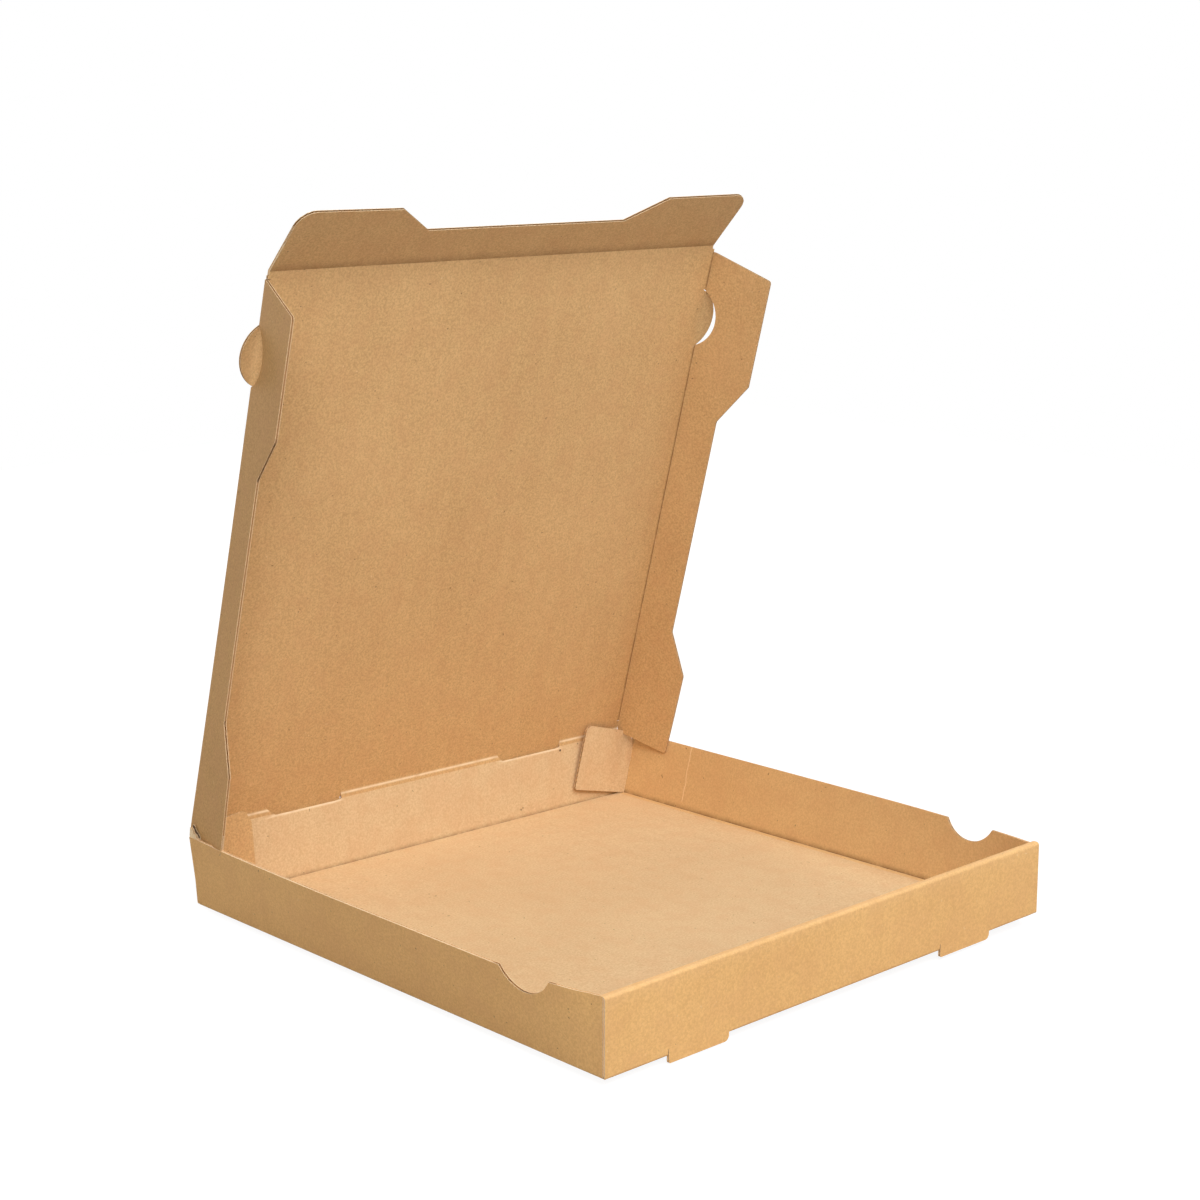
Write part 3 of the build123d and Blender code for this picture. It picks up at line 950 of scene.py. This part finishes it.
def side_flap(side, shape, fold, name):
    hole = [(a, b, 0) for a, b in reversed(ear_arc(EAR_RADIUS + EAR_GAP, -LID_LEAD))]
    corners = [
        (-LID_LEAD, FLAP_REAR, 0),
        (HEEL_EDGE, FLAP_REAR, 0),
        (HEEL_EDGE, FLAP_HEEL, 0),
        (HEEL_WIDTH, FLAP_HEEL, 0),
        (HEEL_WIDTH + 0.1, WAIST_START, 4.0),
        (FLAP_WAIST, WAIST_LOW, 4.0),
        (FLAP_WAIST, WAIST_HIGH, 4.0),
        (FLAP_WIDTH, WAIST_END, 3.0),
        (FLAP_WIDTH, FLAP_TIP, 2.0),
        (2.0, flap_front, 0),
        (-LID_LEAD, flap_front, 0),
        *hole,
    ]
    crease_cuts = fold_cuts(0, radians(fold), CREASE)
    return board(
        name,
        rounded(corners),
        shape,
        cut_lines(-LID_LEAD, 41, CLOSE_GRID, [crease_cuts]),
        cut_lines(FLAP_REAR, flap_front, GRID),
        zones=[(0, 42, EAR_PLACE - EAR_MARGIN, flap_front), *FLAP_ZONES],
        row_length=20.0,
        # A dark line of painted shade in the flap's crease
        creases=[(0, -0.3, 1.1, 0.9, *EVERYWHERE)],
        fill=2,
    )


def flap_heel(shape, low, low_end, name):
    """A flap's rear end inside the wall, which the turning lid presses short."""
    corners = [(HEEL_EDGE, 2.0, 0), (1.6, low, 0), (38.2, low_end, 1.5)]
    corners += [(HEEL_WIDTH, FLAP_HEEL, 0), (HEEL_EDGE, FLAP_HEEL, 0)]
    return board(
        name,
        rounded(corners),
        shape,
        cut_lines(0, HEEL_WIDTH, CLOSE_GRID),
        [4.0, 8.0, 12.0],
        zones=[(0, 39, -5, FLAP_HEEL)],
        row_length=4.0,
    )


left_shape = flap_shaper(-1, LEFT_FOLD, LEFT_REAR_FOLD, 6)
right_shape = flap_shaper(1, RIGHT_FOLD, RIGHT_REAR_FOLD, 8)
left_flap = side_flap(-1, left_shape, LEFT_FOLD, "left_flap_board")
right_flap = side_flap(1, right_shape, RIGHT_FOLD, "right_flap_board")
left_heel = flap_heel(left_shape, -4.0, 3.0, "left_flap_heel")
right_heel = flap_heel(right_shape, -1.4, -2.0, "right_flap_heel")

# Front tuck flap
tuck_fold = (LID_LEAD, radians(TUCK_FOLD), SOFT_CREASE)


def tuck_shape(across, along, height):
    place = creased(along + LID_LEAD, (tuck_fold,), height)
    return lid_point(across, LID_DEPTH - LID_LEAD + place.x, place.y)


ear_top = TUCK_DEPTH - TUCK_EAR_DROP
tuck_corners = [
    (TUCK_RIGHT, -LID_LEAD, 0),
    (TUCK_RIGHT, TUCK_DEPTH, TUCK_EAR_CORNER),
    (TUCK_EAR_HALF, ear_top, TUCK_RECESS_CORNER),
    (TUCK_RECESS_HALF, TUCK_RECESS_DEPTH, TUCK_RECESS_CORNER),
    (-TUCK_RECESS_HALF, TUCK_RECESS_DEPTH, TUCK_RECESS_CORNER),
    (-TUCK_EAR_HALF, ear_top, TUCK_RECESS_CORNER),
    (-TUCK_LEFT, TUCK_DEPTH, TUCK_EAR_CORNER),
    (-TUCK_LEFT, -LID_LEAD, 0),
]
tuck_flap = board(
    "tuck_flap_board",
    rounded(tuck_corners),
    tuck_shape,
    cut_lines(-TUCK_LEFT, TUCK_RIGHT, GRID),
    cut_lines(0, TUCK_DEPTH, GRID, [fold_cuts(0, radians(TUCK_FOLD), SOFT_CREASE)]),
    zones=[(-TUCK_LEFT - OVERRUN, TUCK_RIGHT + OVERRUN, 20, TUCK_DEPTH + OVERRUN)],
    row_length=20.0,
    # A dark line of painted shade in the tuck crease
    creases=[(1, 0.7, 0.9, 0.7, *EVERYWHERE)],
)

# What each piece rides on
for piece, finish in (
    *[(piece, outside_lit_finish) for piece in (front_piece, *feet, left_wall, *front_tabs)],
    (floor_piece, inside_sheen_finish),
    (rear_piece, inside_sheen_finish),
    (right_wall, cracked_lit_finish),
):
    dress(piece, finish, outside_lit_finish)
    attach(piece, "tray")
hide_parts("tray")
for piece, finish, keep in (
    (right_tab, inside_sheen_finish, 0.77),
    (left_tab, liner_finish, 0.86),
):
    dress(piece, finish, outside_lit_finish)
    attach(piece, "tray")
    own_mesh(piece)
speck_and_shadow_finish = Finish("dark_speck_and_painted_shadow")
speck_and_shadow_finish.send("Base Color", colour(86, 60, 36))
speck_and_shadow_finish.send("Roughness", 0.8)
rear_speck.data.materials.append(speck_and_shadow_finish.material)
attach(rear_speck, "tray")
# The torn liner is pale raw board; the dark sheet behind it is painted shadow, while the rear wall's
# speck is a real dark speck
for piece, finish in ((torn_liner, edge_finish), (torn_shadow_sheet, speck_and_shadow_finish.material)):
    dress(piece, finish, finish)
    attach(piece, "tray")
    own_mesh(piece)
dress(lid_piece)
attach(lid_piece, "lid")
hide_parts("lid")

BLEND_HALF = 2.0
lid_way = (lid_point(0, 1, 0) - lid_point(0, 0, 0)).normalized()
low, high = rear_shape(0, rear_top, 0), lid_point(0, HINGE_STRIP, 0)
for piece in hinges:
    dress(piece)
    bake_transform(piece)
for side, shape, flap, heel, body in (
    (-1, left_shape, left_flap, left_heel, "left_flap"),
    (1, right_shape, right_flap, right_heel, "right_flap"),
):
    dress(flap)
    dress(heel)
    start, end = shape(-BLEND_HALF, LID_DEPTH / 2, 0), shape(BLEND_HALF, LID_DEPTH / 2, 0)
    start * MM
    end * MM
    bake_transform(flap)
    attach(heel, body)
    anchor = shape(0, FLAP_HEEL, 0) * MM
    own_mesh(heel)
    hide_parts(body.replace("_flap", "_side_flap"))
dress(tuck_flap)
start, end = tuck_shape(0, -BLEND_HALF, 0), tuck_shape(0, BLEND_HALF, 0)
start * MM
end * MM
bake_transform(tuck_flap)
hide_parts("front_tuck_flap")

# Studio floor, light and camera
FLOOR_SIZE = 1.5
FLOOR_TILT = FOOT_DROP / TRAY_DEPTH
FLOOR_DROP = 0.0019
FLOOR_GREY = (0.52, 0.52, 0.52, 1)
WHITE = (1, 1, 1, 1)
SHOWN_SHARE, SHOWN_GLOW = 0.7, 1.32
AMBIENT = 0.22
ground = bmesh.new()
bmesh.ops.create_grid(ground, x_segments=1, y_segments=1, size=FLOOR_SIZE)
for vert in ground.verts:
    vert.co.z = FLOOR_TILT * (vert.co.y - HALF_DEPTH * MM) - FLOOR_DROP
ground_piece = add_piece("studio_floor", mesh_of(ground, "studio_floor"))


def seen_rays(nodes):
    """1 for the rays that show the background: the camera's, and those in mirrors and glass."""
    path = nodes.node("ShaderNodeLightPath", {}, (), "Is Camera Ray")
    glossy = nodes.node("ShaderNodeLightPath", {}, (), "Is Glossy Ray")
    clear = nodes.node("ShaderNodeLightPath", {}, (), "Is Transmission Ray")
    return (path + glossy + clear).band(0.0, 1.0)


ground_finish = Finish("studio_floor")
ground_finish.send("Base Color", FLOOR_GREY)
ground_finish.send("Roughness", 1.0)
ground_finish.send("Specular IOR Level", 0.0)
white = ground_finish.node("ShaderNodeEmission", {}, {"Color": WHITE, "Strength": SHOWN_GLOW})
own = Value(ground_finish, ground_finish.shader.outputs[0])
shown = ground_finish.node("ShaderNodeMixShader", {}, (SHOWN_SHARE, own, white))
mixed = ground_finish.node("ShaderNodeMixShader", {}, (seen_rays(ground_finish), own, shown))
surface = ground_finish.tree.nodes["Material Output"].inputs["Surface"]
ground_finish.tree.links.new(mixed.socket, surface)
ground_piece.data.materials.append(ground_finish.material)

scene = bpy.context.scene
scene.view_settings.view_transform = "Standard"


class Surroundings(Finish):
    """The world's nodes, added in the same way."""

    def __init__(self, world):
        world.use_nodes = True
        self.tree = world.node_tree


world = bpy.data.worlds.new("studio")
scene.world = world
sky = Surroundings(world)
ambient = sky.node("ShaderNodeBackground", {}, {"Color": WHITE, "Strength": AMBIENT})
backdrop = sky.node("ShaderNodeBackground", {}, {"Color": WHITE, "Strength": 1.0})
seen = sky.node("ShaderNodeMixShader", {}, (seen_rays(sky), ambient, backdrop))
sky.tree.links.new(seen.socket, sky.tree.nodes["World Output"].inputs["Surface"])


LAMP_AIM = Vector((0, 0, 0.1))


def lamp(name, place, size, power):
    light = bpy.data.lights.new(name, "AREA")
    light.size = size
    light.energy = power
    holder = add_piece(name, light)
    holder.location = place
    holder.rotation_euler = (LAMP_AIM - Vector(place)).to_track_quat("-Z", "Y").to_euler()


lamp("key", (0.5, -1.6, 2.25), 1.6, 43.0)
lamp("fill", (-1.4, -1.6, 2.0), 1.5, 49.0)
lamp("back", (0.3, 2.4, 0.9), 1.6, 34.0)

CAMERA_PLACE = (-0.9190, -0.9625, 0.4670)
CAMERA_AIM = Vector((0.67048, 0.71081, -0.21260))
camera_data = bpy.data.cameras.new("camera")
camera_data.lens = 75.18
camera_data.sensor_width = 36.0
camera = add_piece("camera", camera_data)
camera.location = CAMERA_PLACE
camera.rotation_euler = CAMERA_AIM.to_track_quat("-Z", "Y").to_euler()
scene.camera = camera
